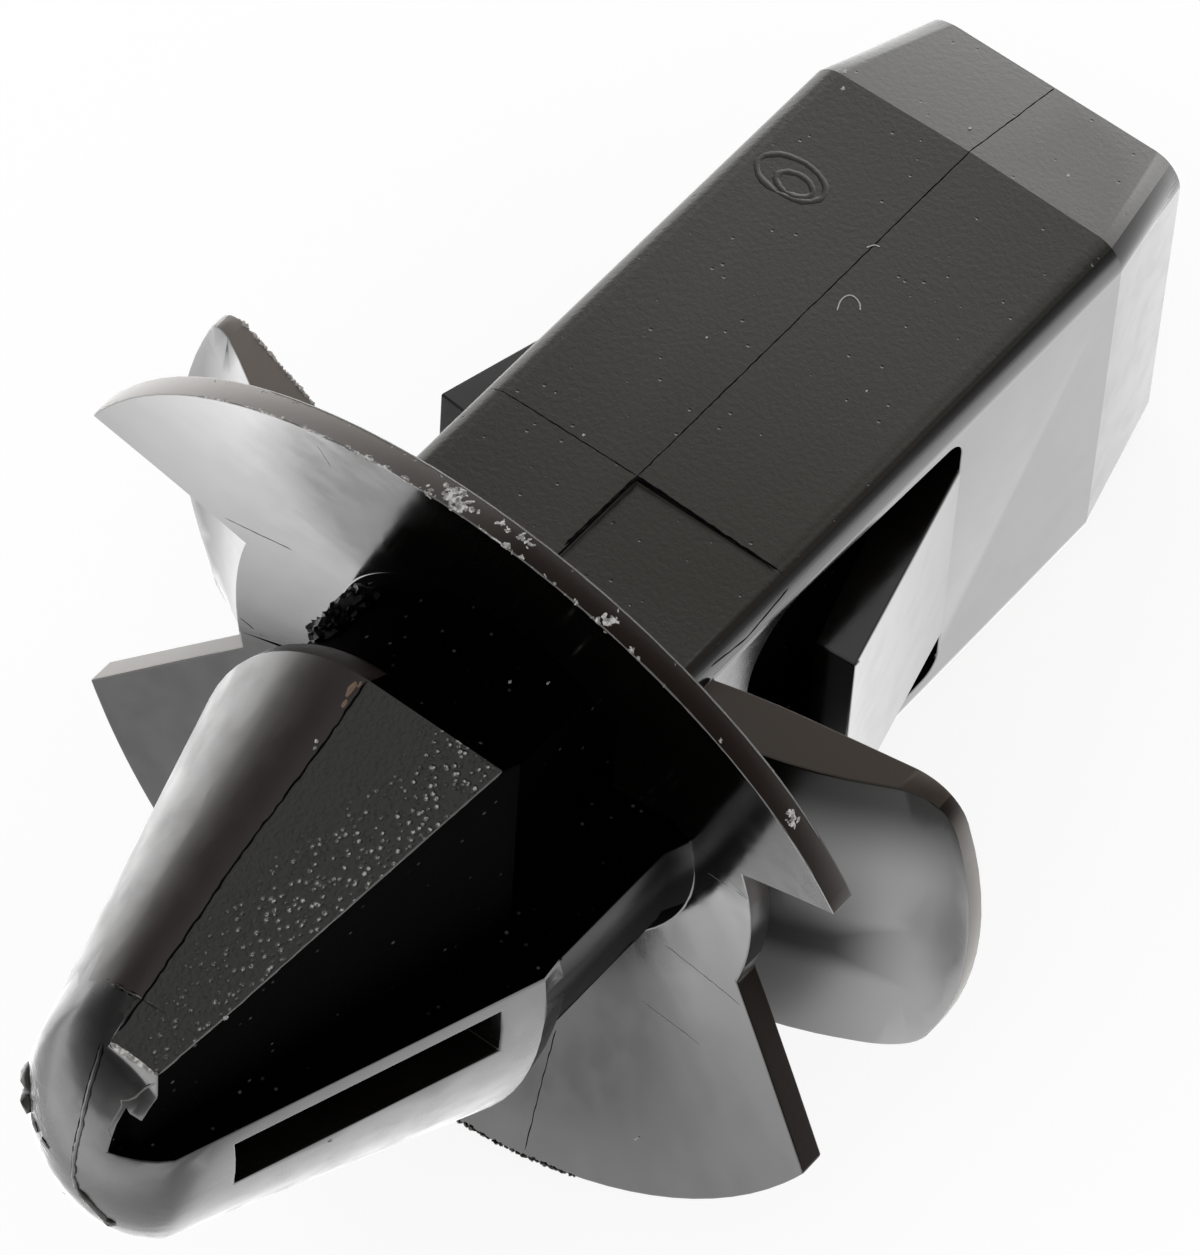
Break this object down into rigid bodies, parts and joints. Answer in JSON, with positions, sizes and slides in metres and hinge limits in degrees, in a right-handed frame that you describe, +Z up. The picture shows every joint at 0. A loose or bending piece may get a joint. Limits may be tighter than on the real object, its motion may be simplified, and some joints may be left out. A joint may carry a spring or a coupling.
{
  "type": "push retainer",
  "caption": "Moulded plastic push retainer with a rectangular plug, side tongues, a split umbrella flange and a flanked arrowhead nose.",
  "frame": {"origin": "bottom centre of the object's box as it lies at rest", "axes": "+X towards the raised nose, +Z up, +Y to the side whose nose flat faces up; the retainer's own axis rises from the plug to the nose in the XZ plane"},
  "size_m": [0.0278, 0.018, 0.0174],
  "materials": {
    "black_nylon": "as moulded, polished on the sides and finely textured on the flats"
  },
  "bodies": {
    "root": {"retainer": "black_nylon"}
  },
  "joints": []
}
